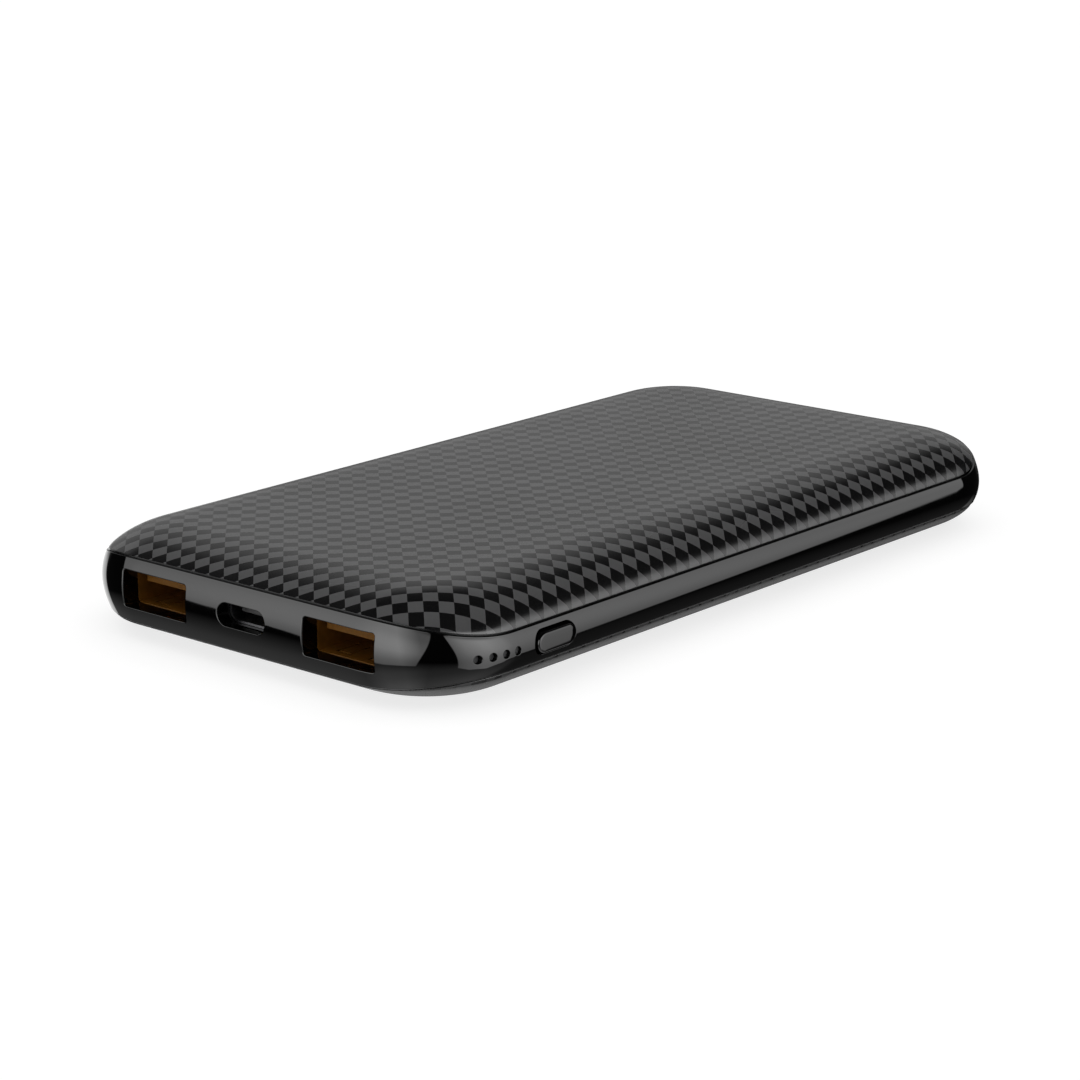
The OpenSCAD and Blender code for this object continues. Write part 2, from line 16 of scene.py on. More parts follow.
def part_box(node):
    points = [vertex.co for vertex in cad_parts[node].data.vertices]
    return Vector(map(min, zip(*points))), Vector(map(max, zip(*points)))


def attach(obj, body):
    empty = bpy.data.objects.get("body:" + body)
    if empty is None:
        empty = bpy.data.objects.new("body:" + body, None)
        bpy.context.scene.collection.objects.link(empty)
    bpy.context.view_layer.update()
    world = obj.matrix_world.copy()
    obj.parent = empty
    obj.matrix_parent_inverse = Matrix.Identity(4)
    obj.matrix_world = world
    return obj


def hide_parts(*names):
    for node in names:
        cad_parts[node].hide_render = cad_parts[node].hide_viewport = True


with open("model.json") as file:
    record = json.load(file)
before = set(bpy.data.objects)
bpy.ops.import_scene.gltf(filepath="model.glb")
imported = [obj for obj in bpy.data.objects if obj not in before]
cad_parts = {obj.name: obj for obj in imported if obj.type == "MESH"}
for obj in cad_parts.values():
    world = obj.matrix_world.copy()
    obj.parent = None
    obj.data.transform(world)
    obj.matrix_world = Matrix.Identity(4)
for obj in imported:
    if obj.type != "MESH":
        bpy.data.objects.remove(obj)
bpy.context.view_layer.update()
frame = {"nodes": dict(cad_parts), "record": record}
MM = 0.001

# ---------------------------------------------------------------- sizes read from the frame, mm


def node_box(name):
    """Lowest and highest corner of a CAD node, in millimetres."""
    low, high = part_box(name)
    return low / MM, high / MM


cover_low, cover_high = node_box("top_cover")
band_low, band_high = node_box("mid_frame")
button_low, button_high = node_box("power_button")
BODY_T = cover_high.z
RIM_X = cover_high.x
RIM_Y = cover_high.y
RIM_OUT = band_high.x - RIM_X


def middle_x(name):
    """Where a node's middle is across the body."""
    low, high = node_box(name)
    return (low.x + high.x) / 2


# Outline and profile of the body
CORNER_R = 14.0
BORDER_W = 11.7
ARC_X = RIM_X - CORNER_R
ARC_Y = RIM_Y - CORNER_R
PROFILE_POWER = 2.35
END_ROUNDNESS = 1.0
SIDE_ROUNDNESS = 1.4
SEAM_TOP = (BODY_T - 2.75, BODY_T - 5.4)
SEAM_BASE = (3.0, 4.5)
COVER_T = 1.3
REVEAL = 0.2
GROOVE_D = (0.12, 0.4)
SEAT_GAP = 0.03
LIP_IN = 2.55
LIP_H = 1.2
LIP_GAP = 0.05
EDGE_R = 0.08

# Band
BAND_STEP = 0.3
BAND_BULGE = RIM_OUT - BAND_STEP
BAND_WALL = 1.7
BAND_FILLET_TOP = 0.08
BAND_FILLET_BASE = 0.15
PAD_T = 0.1
PAD_MARGIN = 8.3

# Socket mouths: width, height, centre across and up
USB_A_MOUTH = (12.6, 5.3)
USB_C_MOUTH = (9.05, 3.27)
LEFT_USB_A = (middle_x("left_usb_a_shell"), 7.9)
RIGHT_USB_A = (middle_x("right_usb_a_shell"), 7.9)
USB_C = (middle_x("usb_c_shell"), 8.0)
PAD_X = (LEFT_USB_A[0] - PAD_MARGIN, RIGHT_USB_A[0] + PAD_MARGIN)
MOUTH_CORNER_R = 0.45
MOUTH_EDGE_R = 0.16
USB_C_EDGE_R = 0.1

# Button and lights: places along the side and up
BUTTON_Y = (button_low.y + button_high.y) / 2
BUTTON_Z = (button_low.z + button_high.z) / 2
BUTTON_L = 7.6
BUTTON_H = 2.8
BUTTON_GAP = 0.35
LIGHT_Y = -52.9
LIGHT_PITCH = 2.1
LIGHT_COUNT = 4
LIGHT_HOLE_R = 0.58
LIGHT_EDGE_R = 0.07

# Screw bosses on the bottom cover, and the snap beads on both covers' lips
BOSS_PLACES = ((-28.4, -56), (-28.4, -41), (28.4, -41))
BOSS_R = 1.9
BOSS_BORE_R = 0.86
BOSS_BORE_DEPTH = 3.1
BEAD_PLACES = (-28, 0, 28, 50)
BEAD_L = 6
BEAD_H = 0.5
BEAD_OUT = 0.35

# Cross rib inside the band: a tie to both walls, a lower bar and three upper blocks
RIB_Y = -37.2
RIB_T = 1.2
RIB_END_X = 29
RIB_TIE_Z = (5.9, 8.2)
RIB_LOWER_Z = (3.2, 6.1)
RIB_UPPER_Z = (8.0, 11.4)
RIB_UPPER_X = ((-RIB_END_X, -9.2), (-6.8, 6.8), (9.2, RIB_END_X))

# Checks on the covers: squares at 45 degrees, with a corner at this point
CHECK_SIDE = 2.0
CHECK_CORNER = (RIM_X - 13.9, -52.4)

# ---------------------------------------------------------------- mesh helpers


def new_piece(name, bm, body, replaced, sharp_deg=32):
    """Turns a millimetre bmesh into a smooth-shaded piece that rides on a body."""
    bmesh.ops.remove_doubles(bm, verts=bm.verts, dist=1e-4)
    bmesh.ops.recalc_face_normals(bm, faces=bm.faces)
    bmesh.ops.scale(bm, vec=(MM, MM, MM), verts=bm.verts)
    mesh = bpy.data.meshes.new(name)
    bm.to_mesh(mesh)
    bm.free()
    for face in mesh.polygons:
        face.use_smooth = True
    mesh.set_sharp_from_angle(angle=math.radians(sharp_deg))
    piece = bpy.data.objects.new(name, mesh)
    bpy.context.scene.collection.objects.link(piece)
    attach(piece, body)
    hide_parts(*replaced)
    return piece


def add_ring(bm, points):
    return [bm.verts.new(p) for p in points]


def join_rings(bm, a, b, closed=True):
    """Quads between two rings of the same length."""
    count = len(a) if closed else len(a) - 1
    made = []
    for j in range(count):
        k = (j + 1) % len(a)
        made.append(bm.faces.new((a[j], a[k], b[k], b[j])))
    return made


def loft(bm, rings, second_from=None):
    """Skin through rings of points, with flat ends. From second_from on it has the second finish."""
    rows = [add_ring(bm, r) for r in rings]
    bm.faces.new(list(reversed(rows[0])))
    for count, (a, b) in enumerate(zip(rows, rows[1:])):
        for face in join_rings(bm, a, b):
            face.material_index = int(second_from is not None and count >= second_from)
    last = bm.faces.new(rows[-1])
    last.material_index = int(second_from is not None)


def add_box(bm, low, high, bevel=0.12):
    """A box with eased edges."""
    made = bmesh.ops.create_cube(bm, size=1)["verts"]
    size = Vector(high) - Vector(low)
    bmesh.ops.scale(bm, vec=size, verts=made)
    bmesh.ops.translate(bm, vec=(Vector(low) + Vector(high)) / 2, verts=made)
    edges = list({e for v in made for e in v.link_edges})
    bmesh.ops.bevel(bm, geom=edges, offset=bevel, segments=2, profile=0.5, affect="EDGES")


def rounded_outline(width, height, radius, steps=6):
    """Closed outline of a rounded rectangle about the origin, anticlockwise."""
    points = []
    for quarter in range(4):
        cx = (width / 2 - radius) * (1 if quarter in (0, 3) else -1)
        cy = (height / 2 - radius) * (1 if quarter < 2 else -1)
        for j in range(steps + 1):
            a = math.radians(90 * (quarter + j / steps))
            points.append((cx + radius * math.cos(a), cy + radius * math.sin(a)))
    return points


def divided(outline, longest):
    """The same closed outline with extra points on its long straight runs."""
    points = []
    for (x0, y0), (x1, y1) in zip(outline, outline[1:] + outline[:1]):
        gap = math.hypot(x1 - x0, y1 - y0)
        if gap < 1e-6:
            continue
        parts = max(1, math.ceil(gap / longest))
        points += [(x0 + (x1 - x0) * k / parts, y0 + (y1 - y0) * k / parts) for k in range(parts)]
    return points


# ---------------------------------------------------------------- body outline

ARC_STEPS = 28
STRAIGHT_STEP = 1.9


def stations():
    """Points round the body: where a corner arc is centred, or slides to, and the way it faces."""
    made = []
    corners = [(ARC_X, ARC_Y), (-ARC_X, ARC_Y), (-ARC_X, -ARC_Y), (ARC_X, -ARC_Y)]
    for quarter, (cx, cy) in enumerate(corners):
        for j in range(ARC_STEPS):
            made.append((cx, cy, math.radians(90 * (quarter + j / ARC_STEPS))))
        nx, ny = corners[(quarter + 1) % 4]
        parts = math.ceil(math.hypot(nx - cx, ny - cy) / STRAIGHT_STEP)
        for j in range(parts):
            t = j / parts
            made.append((cx + (nx - cx) * t, cy + (ny - cy) * t, math.radians(90 * (quarter + 1))))
    return made


STATIONS = stations()


def end_share(angle):
    """1 where the outline faces an end of the body, 0 where it faces a side."""
    return math.sin(angle) ** 2


def blended(pair, angle):
    """A height given as (at the ends, along the sides), for the way the outline faces."""
    return pair[0] * end_share(angle) + pair[1] * (1 - end_share(angle))


def at(station, inset, z):
    cx, cy, a = station
    return (cx + (CORNER_R - inset) * math.cos(a), cy + (CORNER_R - inset) * math.sin(a), z)


def ring(inset, heights):
    """A ring round the body. inset and heights may each be a pair, (at the ends, along the sides)."""
    insets = inset if isinstance(inset, tuple) else (inset, inset)
    return [at(s, blended(insets, s[2]), blended(heights, s[2])) for s in STATIONS]


# ---------------------------------------------------------------- covers

BORDER_STEPS = 34


def profile(k, roundness):
    return 1 - (1 - k**PROFILE_POWER) ** (1 / roundness)


def border(flat_z, rim, rim_inset, steps):
    """Rings of a cover's curved border, from the flat face out to the rim."""
    rings = []
    for s in range(steps + 1):
        k = 1 - (1 - s / steps) ** 1.5 if s else 0.0
        k = k**0.8
        inset = BORDER_W - (BORDER_W - rim_inset) * k
        end_z = flat_z + (rim[0] - flat_z) * profile(k, END_ROUNDNESS)
        side_z = flat_z + (rim[1] - flat_z) * profile(k, SIDE_ROUNDNESS)
        rings.append(ring(inset, (end_z, side_z)))
    return rings


def raised(pair, by):
    return (pair[0] + by, pair[1] + by)


def cover_rings(flat_z, seam, up):
    """Outer skin, eased rim, shadow groove, lip and inner skin. up is 1 on top, -1 below."""
    edge = raised(seam, up * REVEAL)
    seat = raised(seam, up * SEAT_GAP)
    lip = raised(seam, -up * LIP_H)
    lip_out = BAND_WALL + LIP_GAP
    return (
        border(flat_z, raised(edge, up * EDGE_R), 0.0, BORDER_STEPS)
        + [
            ring(EDGE_R * 0.3, raised(edge, up * EDGE_R * 0.3)),
            ring(EDGE_R, edge),
            ring(GROOVE_D, edge),
            ring(GROOVE_D, seat),
            ring(lip_out, seat),
            ring(lip_out, lip),
            ring(LIP_IN, lip),
        ]
        + border(flat_z - up * COVER_T, seam, LIP_IN, BORDER_STEPS // 3)[::-1]
    )


def add_beads(bm, z):
    """Snap beads on a cover's lip."""
    for side in (-1, 1):
        for y in BEAD_PLACES:
            x = side * (RIM_X - BAND_WALL)
            low = (x - BEAD_OUT, y - BEAD_L / 2, z)
            add_box(bm, low, (x + BEAD_OUT, y + BEAD_L / 2, z + BEAD_H))


def add_boss(bm, x, y, z_low, z_high):
    """A screw boss: a tube standing on the bottom cover."""
    bore_end = z_high - BOSS_BORE_DEPTH
    sections = [(BOSS_R, z_low), (BOSS_R, z_high), (BOSS_BORE_R, z_high), (BOSS_BORE_R, bore_end)]
    turns = [math.tau * k / 32 for k in range(32)]
    loft(bm, [[(x + r * math.cos(t), y + r * math.sin(t), z) for t in turns] for r, z in sections])


def build_top_cover():
    bm = bmesh.new()
    loft(bm, cover_rings(BODY_T, SEAM_TOP, 1), BORDER_STEPS)
    add_beads(bm, SEAM_TOP[1] - 0.9)
    return new_piece("top_shell", bm, "housing", ["top_cover"])


def build_bottom_cover():
    bm = bmesh.new()
    loft(bm, cover_rings(0.0, SEAM_BASE, -1), BORDER_STEPS)
    add_beads(bm, SEAM_BASE[1] + 0.4)
    board_under = node_box("circuit_board")[0].z
    for x, y in BOSS_PLACES:
        add_boss(bm, x, y, COVER_T - 0.3, board_under)
    return new_piece("bottom_shell", bm, "housing", ["bottom_cover"])


# ---------------------------------------------------------------- band

WALL_ROWS = 16


def bulge(t):
    """How far the band stands out from the covers' rim at t of its height."""
    return BAND_STEP + BAND_BULGE * (1 - (2 * t - 1) ** 2)


def outer_inset(station, z):
    low, high = blended(SEAM_BASE, station[2]), blended(SEAM_TOP, station[2])
    return -bulge((z - low) / (high - low))


def inner_inset(station, z):
    """The wall's inner face, thicker behind the sockets."""
    x = at(station, BAND_WALL, z)[0]
    behind_sockets = math.sin(station[2]) < -0.9 and PAD_X[0] < x < PAD_X[1]
    return BAND_WALL + (PAD_T if behind_sockets else 0)


def station_at(face, across, z, inset_of):
    """The station whose surface point has this x (face "end") or y (face "side") at height z."""
    if face == "end" and abs(across) <= ARC_X:
        return (across, -ARC_Y, math.radians(-90))
    if face == "side" and across >= -ARC_Y:
        return (ARC_X, across, 0.0)
    centre_x = math.copysign(ARC_X, across) if face == "end" else ARC_X
    angle = math.radians(-90) if face == "end" else 0.0
    for _ in range(6):
        radius = CORNER_R - inset_of((centre_x, -ARC_Y, angle), z)
        if face == "end":
            angle = -math.acos((across - centre_x) / radius)
        else:
            angle = -math.asin((-ARC_Y - across) / radius)
    return (centre_x, -ARC_Y, angle)


ARC_LENGTH = (CORNER_R + BAND_STEP) * math.pi / 2
FRONT_START = 3 * ARC_LENGTH + 2 * ARC_X + 2 * ARC_Y
CORNER_START = FRONT_START + 2 * ARC_X
SIDE_START = CORNER_START + ARC_LENGTH


def travelled(station):
    """Distance round the outline to a station on the front, its two corners or the light side."""
    cx, cy, a = station
    if abs(a) < 1e-9:
        return SIDE_START + (cy + ARC_Y)
    past_front = (1 + a / (math.pi / 2)) * ARC_LENGTH
    return FRONT_START + (cx + ARC_X) + past_front


def station_from(u):
    """The station at distance u round the outline."""
    legs = [(0, 2 * ARC_X), (1, 2 * ARC_Y), (2, 2 * ARC_X), (3, 2 * ARC_Y)]
    corners = [(ARC_X, ARC_Y), (-ARC_X, ARC_Y), (-ARC_X, -ARC_Y), (ARC_X, -ARC_Y)]
    for quarter, straight in legs:
        cx, cy = corners[quarter]
        if u <= ARC_LENGTH:
            return (cx, cy, math.radians(90 * quarter) + u / ARC_LENGTH * math.pi / 2)
        u -= ARC_LENGTH
        if u <= straight + 1e-6:
            nx, ny = corners[(quarter + 1) % 4]
            t = min(1, u / straight)
            return (cx + (nx - cx) * t, cy + (ny - cy) * t, math.radians(90 * (quarter + 1)))
        u -= straight
    return (corners[0][0], corners[0][1], 0.0)


def wall_limits(angle):
    return blended(SEAM_BASE, angle) + BAND_FILLET_BASE, blended(SEAM_TOP, angle) - BAND_FILLET_TOP


FLAT_H = SEAM_TOP[0] - SEAM_BASE[0]


def flat_point(station, z):
    """A place on the band's wall as (distance round, height share times the end's height)."""
    low, high = wall_limits(station[2])
    return (travelled(station), (z - low) / (high - low) * FLAT_H)


def wall_stations():
    made = []
    for leg, length in enumerate([ARC_LENGTH, 2 * ARC_X, ARC_LENGTH, 2 * ARC_Y] * 2):
        parts = ARC_STEPS if leg % 2 == 0 else math.ceil(length / STRAIGHT_STEP)
        start = made[-1] if made else 0.0
        made += ([0.0] if not made else []) + [start + length * (k + 1) / parts for k in range(parts)]
    return made


WALL_STATIONS = wall_stations()


def holes():
    """Every hole through the band: its outline, its face, its centre and its edge's radius."""
    usb_a = divided(rounded_outline(*USB_A_MOUTH, MOUTH_CORNER_R), 0.9)
    usb_c = divided(rounded_outline(*USB_C_MOUTH, USB_C_MOUTH[1] / 2 - 1e-3, 12), 0.9)
    slot_h = BUTTON_H + 2 * BUTTON_GAP
    slot = divided(rounded_outline(BUTTON_L + 2 * BUTTON_GAP, slot_h, slot_h / 2 - 1e-3, 12), 0.9)
    light = rounded_outline(2 * LIGHT_HOLE_R, 2 * LIGHT_HOLE_R, LIGHT_HOLE_R - 1e-3, 7)
    made = [
        (usb_a, "end", LEFT_USB_A, MOUTH_EDGE_R),
        (usb_a, "end", RIGHT_USB_A, MOUTH_EDGE_R),
        (usb_c, "end", USB_C, USB_C_EDGE_R),
        (slot, "side", (BUTTON_Y, BUTTON_Z), LIGHT_EDGE_R),
    ]
    for k in range(LIGHT_COUNT):
        made.append((light, "side", (LIGHT_Y - k * LIGHT_PITCH, BUTTON_Z), LIGHT_EDGE_R))
    return made


def grown(outline, by):
    """The outline moved outwards along its own normals."""
    made = []
    for k, (x, y) in enumerate(outline):
        (px, py), (nx, ny) = outline[k - 1], outline[(k + 1) % len(outline)]
        tx, ty = nx - px, ny - py
        length = math.hypot(tx, ty)
        made.append((x + by * ty / length, y - by * tx / length))
    return made


def inside(point, outline):
    x, y = point
    hit = False
    for (x0, y0), (x1, y1) in zip(outline, outline[1:] + outline[:1]):
        if (y0 > y) != (y1 > y) and x < (x1 - x0) * (y - y0) / (y1 - y0) + x0:
            hit = not hit
    return hit


# A row of points this far inside the wall's edges and outside its holes keeps the shading even there
HOLD = 0.07
# No other point of the wall's grid comes closer to a hole than this
HOLE_MARGIN = 0.32


def wall_sheet(bm, inset_of, outer, rows):
    """One face of the band's wall, with its holes left open. Returns the hole edges' vertices."""
    loops = []
    for outline, face, (across, up), edge_r in holes():
        shape = grown(outline, edge_r + HOLD if outer else 0)
        marks = []
        for x, z in shape:
            station = station_at(face, across + x, up + z, inset_of)
            marks.append((station, up + z))
        loops.append(marks)
    flat_loops = [[flat_point(s, z) for s, z in marks] for marks in loops]
    fences = [grown(loop, HOLE_MARGIN) for loop in flat_loops]
    points, edges = [], []
    heights = [0, HOLD] + [FLAT_H * row / rows for row in range(1, rows)] + [FLAT_H - HOLD, FLAT_H]
    for v in heights:
        for u in WALL_STATIONS:
            on_edge = v in (0, FLAT_H) or u in (WALL_STATIONS[0], WALL_STATIONS[-1])
            if on_edge or not any(inside((u, v), fence) for fence in fences):
                points.append((u, v))
    first = len(points)
    for loop in flat_loops:
        start = len(points)
        points += loop
        edges += [(start + k, start + (k + 1) % len(loop)) for k in range(len(loop))]
    made = delaunay_2d_cdt([Vector(p) for p in points], edges, [], 0, 1e-7)
    flat, faces, sources = made[0], made[2], made[3]
    verts = []
    for (u, v), source in zip(flat, sources):
        loop_index = source[0] - first if source else -1
        if loop_index >= 0:
            station, z = [m for marks in loops for m in marks][loop_index]
        else:
            station = station_from(u)
            low, high = wall_limits(station[2])
            z = low + (high - low) * v / FLAT_H
        verts.append(bm.verts.new(at(station, inset_of(station, z), z)))
    for face in faces:
        middle = (sum(flat[k][0] for k in face) / len(face), sum(flat[k][1] for k in face) / len(face))
        if not any(inside(middle, loop) for loop in flat_loops):
            bm.faces.new([verts[k] for k in face])
    by_source = {s: k for k, source in enumerate(sources) for s in source}
    edge_verts, start = [], first
    for loop in flat_loops:
        edge_verts.append([verts[by_source[start + k]] for k in range(len(loop))])
        start += len(loop)
    return edge_verts


EDGE_ARC_STEPS = 6


def add_tunnels(bm, outer_loops, inner_loops):
    """A rounded edge and a straight wall from each hole's outer edge to its inner edge."""
    for (outline, face, (across, up), edge_r), outer, inner in zip(holes(), outer_loops, inner_loops):
        last = outer
        for k in range(EDGE_ARC_STEPS + 1):
            turn = math.radians(90 * k / EDGE_ARC_STEPS)
            depth = edge_r * (1 - math.cos(turn))
            loop = []
            for x, z in grown(outline, edge_r * (1 - math.sin(turn))):
                station = station_at(face, across + x, up + z, outer_inset)
                px, py, pz = at(station, outer_inset(station, up + z), up + z)
                loop.append(bm.verts.new((px, py + depth, pz) if face == "end" else (px - depth, py, pz)))
            join_rings(bm, last, loop)
            last = loop
        join_rings(bm, last, inner)


def wall_strip(bm, steps):
    """Rings along the wall's stations, each step an (inset, height) rule."""
    rows = []
    for inset_rule, height_rule in steps:
        made = []
        for u in WALL_STATIONS:
            station = station_from(u)
            made.append(bm.verts.new(at(station, inset_rule(station), height_rule(station))))
        rows.append(made)
    for a, b in zip(rows, rows[1:]):
        join_rings(bm, a, b, closed=False)


def ledge_steps(seam, toward):
    """From the wall's outer face round a small fillet onto the ledge that a cover sits over."""
    steps = []
    fillet = BAND_FILLET_TOP if toward > 0 else BAND_FILLET_BASE

    def limit(station):
        low, high = wall_limits(station[2])
        return high if toward > 0 else low

    def flat(station):
        return blended(seam, station[2])

    for k in range(6):
        turn = math.radians(90 * k / 5)
        steps.append((
            lambda s, turn=turn: outer_inset(s, limit(s)) + fillet * (1 - math.cos(turn)),
            lambda s, turn=turn: limit(s) + toward * fillet * math.sin(turn),
        ))
    steps.append((lambda s: blended(GROOVE_D, s[2]), flat))
    steps.append((lambda s: inner_inset(s, flat(s)), flat))
    steps.append((lambda s: inner_inset(s, flat(s)), limit))
    return steps


def build_band():
    bm = bmesh.new()
    outer_loops = wall_sheet(bm, outer_inset, True, WALL_ROWS)
    inner_loops = wall_sheet(bm, inner_inset, False, 4)
    add_tunnels(bm, outer_loops, inner_loops)
    wall_strip(bm, ledge_steps(SEAM_TOP, 1))
    wall_strip(bm, ledge_steps(SEAM_BASE, -1))
    rib_low, rib_high = RIB_Y - RIB_T / 2, RIB_Y + RIB_T / 2
    tie_x = RIM_X - BAND_WALL + 0.1
    add_box(bm, (-tie_x, rib_low, RIB_TIE_Z[0]), (tie_x, rib_high, RIB_TIE_Z[1]))
    for x0, x1 in RIB_UPPER_X:
        add_box(bm, (x0, rib_low, RIB_UPPER_Z[0]), (x1, rib_high, RIB_UPPER_Z[1]))
    add_box(bm, (-RIB_END_X, rib_low, RIB_LOWER_Z[0]), (RIB_END_X, rib_high, RIB_LOWER_Z[1]))
    return new_piece("gloss_band", bm, "housing", ["mid_frame"], sharp_deg=28)


# ---------------------------------------------------------------- button


def build_button():
    """Slot-shaped cap with a rounded rim and a faint crown, on a flange behind the band."""
    flange_back = button_low.x
    flange_front = flange_back + 0.55
    face_x = button_high.x
    rim_r = 0.34
    crown = 0.04
    rows = []

    def section(x, grow):
        outline = rounded_outline(BUTTON_L + 2 * grow, BUTTON_H + 2 * grow, BUTTON_H / 2 + grow - 1e-3, 14)
        return [(x, BUTTON_Y + y, BUTTON_Z + z) for y, z in divided(outline, 0.8)]

    def flange(x, grow):
        length, height = BUTTON_L + 1.8 + 2 * grow, BUTTON_H + 1.2 + 2 * grow
        outline = rounded_outline(length, height, height / 2 - 1e-3, 14)
        return [(x, BUTTON_Y + y, BUTTON_Z + z) for y, z in outline]

    bm = bmesh.new()
    loft(bm, [
        flange(flange_back, -0.1),
        flange(flange_back + 0.1, 0),
        flange(flange_front - 0.1, 0),
        flange(flange_front, -0.1),
    ])
    rows.append(section(flange_front - 0.1, 0))
    rows.append(section(face_x - crown - rim_r - 0.1, 0))
    for k in range(9):
        turn = math.radians(90 * k / 8)
        rows.append(section(
            face_x - crown - rim_r * (1 - math.sin(turn)),
            -rim_r * (1 - math.cos(turn)),
        ))
    for k in range(1, 4):
        share = k / 4
        rows.append(section(face_x - crown * (1 - share) ** 2, -rim_r - 0.9 * share))
    loft(bm, rows)
    return new_piece("button_cap", bm, "button", ["power_button"], sharp_deg=40)


# ---------------------------------------------------------------- materials


class Nodes:
    """A material's node tree, with short ways to add and link nodes."""

    def __init__(self, tree):
        self.tree = tree
        tree.nodes.clear()

    def add(self, kind, **settings):
        node = self.tree.nodes.new(kind)
        for name, value in settings.items():
            setattr(node, name, value)
        return node

    def link(self, source, target):
        if hasattr(source, "is_output"):
            self.tree.links.new(source, target)
        else:
            target.default_value = source

    def maths(self, operation, *values, clamp=False):
        node = self.add("ShaderNodeMath", operation=operation, use_clamp=clamp)
        for socket, value in zip(node.inputs, values):
            self.link(value, socket)
        return node.outputs[0]

    def remap(self, value, low, high, to_low=0.0, to_high=1.0, smooth=True):
        node = self.add("ShaderNodeMapRange", clamp=True)
        node.interpolation_type = "SMOOTHSTEP" if smooth else "LINEAR"
        for name, given in (("Value", value), ("From Min", low), ("From Max", high)):
            self.link(given, node.inputs[name])
        self.link(to_low, node.inputs["To Min"])
        self.link(to_high, node.inputs["To Max"])
        return node.outputs["Result"]

    def place(self):
        return self.add("ShaderNodeTexCoord").outputs["Object"]

    def noise(self, vector, per_mm, detail=3.0, rough=0.55):
        node = self.add("ShaderNodeTexNoise")
        node.inputs["Scale"].default_value = per_mm / MM
        node.inputs["Detail"].default_value = detail
        node.inputs["Roughness"].default_value = rough
        self.link(vector, node.inputs["Vector"])
        return node.outputs["Fac"]

    def stretched(self, vector, scale):
        node = self.add("ShaderNodeMapping")
        self.link(vector, node.inputs["Vector"])
        node.inputs["Scale"].default_value = scale
        return node.outputs["Vector"]

    def mix(self, factor, a, b):
        node = self.add("ShaderNodeMix", data_type="RGBA")
        self.link(factor, node.inputs["Factor"])
        self.link(a, node.inputs["A"])
        self.link(b, node.inputs["B"])
        return node.outputs["Result"]

    def bump(self, height, depth_mm, strength=1.0, normal=None):
        node = self.add("ShaderNodeBump")
        node.inputs["Strength"].default_value = strength
        node.inputs["Distance"].default_value = depth_mm * MM
        self.link(height, node.inputs["Height"])
        if normal is not None:
            self.link(normal, node.inputs["Normal"])
        return node.outputs["Normal"]

    def surface(self, colour, roughness, normal=None, **fixed):
        """The shader. fixed gives plain socket values, such as Metallic."""
        shader = self.add("ShaderNodeBsdfPrincipled")
        self.link(colour, shader.inputs["Base Color"])
        self.link(roughness, shader.inputs["Roughness"])
        if normal is not None:
            self.link(normal, shader.inputs["Normal"])
        for name, value in fixed.items():
            shader.inputs[name.replace("_", " ")].default_value = value
        out = self.add("ShaderNodeOutputMaterial")
        self.link(shader.outputs["BSDF"], out.inputs["Surface"])
        return shader


def material(name):
    made = bpy.data.materials.new(name)
    made.use_nodes = True
    return made, Nodes(made.node_tree)


def rgb(r, g, b):
    return (r, g, b, 1.0)


def checked_plastic():
    """Moulded checks: matte squares and darker, glossier squares at 45 degrees."""
    made, n = material("checked_plastic")
    place = n.place()
    turned = n.add("ShaderNodeMapping", vector_type="TEXTURE")
    n.link(place, turned.inputs["Vector"])
    turned.inputs["Location"].default_value = (CHECK_CORNER[0] * MM, CHECK_CORNER[1] * MM, 0)
    turned.inputs["Rotation"].default_value = (0, 0, math.radians(45))
    turned.inputs["Scale"].default_value = (CHECK_SIDE * MM, CHECK_SIDE * MM, 1)
    parts = n.add("ShaderNodeSeparateXYZ")
    n.link(turned.outputs["Vector"], parts.inputs[0])
    row = n.maths("FLOOR", parts.outputs["X"])
    column = n.maths("FLOOR", parts.outputs["Y"])
    dark = n.maths("FLOORED_MODULO", n.maths("ADD", row, column), 2.0)
    grain = n.noise(place, 9.0, 4.0)
    cloud = n.noise(place, 0.05, 2.0)
    matte = n.mix(grain, rgb(0.075, 0.075, 0.076), rgb(0.097, 0.097, 0.098))
    gloss = n.mix(grain, rgb(0.0035, 0.0035, 0.0037), rgb(0.0065, 0.0065, 0.0067))
    matte_rough = n.remap(cloud, 0.3, 0.7, 0.23, 0.28)
    gloss_rough = n.remap(cloud, 0.3, 0.7, 0.19, 0.23)
    rough = n.add("ShaderNodeMix", data_type="FLOAT")
    n.link(dark, rough.inputs["Factor"])
    n.link(matte_rough, rough.inputs["A"])
    n.link(gloss_rough, rough.inputs["B"])
    fine = n.maths("MULTIPLY", grain, n.remap(dark, 0.0, 1.0, 1.0, 0.25, smooth=False))
    n.surface(n.mix(dark, matte, gloss), rough.outputs["Result"], n.bump(fine, 0.004, 0.5))
    return made


def plain_plastic():
    """The same plastic where it has no checks: the covers' rims, lips and insides."""
    made, n = material("plain_plastic")
    place = n.place()
    grain = n.noise(place, 9.0, 4.0)
    colour = n.mix(grain, rgb(0.016, 0.016, 0.0165), rgb(0.024, 0.024, 0.0245))
    n.surface(colour, n.remap(grain, 0.3, 0.7, 0.26, 0.34), n.bump(grain, 0.004, 0.4))
    return made


def gloss_black(name, shade):
    """Polished black plastic: a faint ripple in the surface and a little haze."""
    made, n = material(name)
    place = n.place()
    cloud = n.noise(place, 0.12, 2.0)
    grain = n.noise(place, 3.0, 3.0)
    colour = n.mix(grain, rgb(shade * 0.7, shade * 0.7, shade * 0.72), rgb(shade, shade, shade * 1.03))
    rough = n.remap(cloud, 0.3, 0.7, 0.025, 0.05)
    n.surface(colour, rough, n.bump(cloud, 0.004, 0.35))
    return made


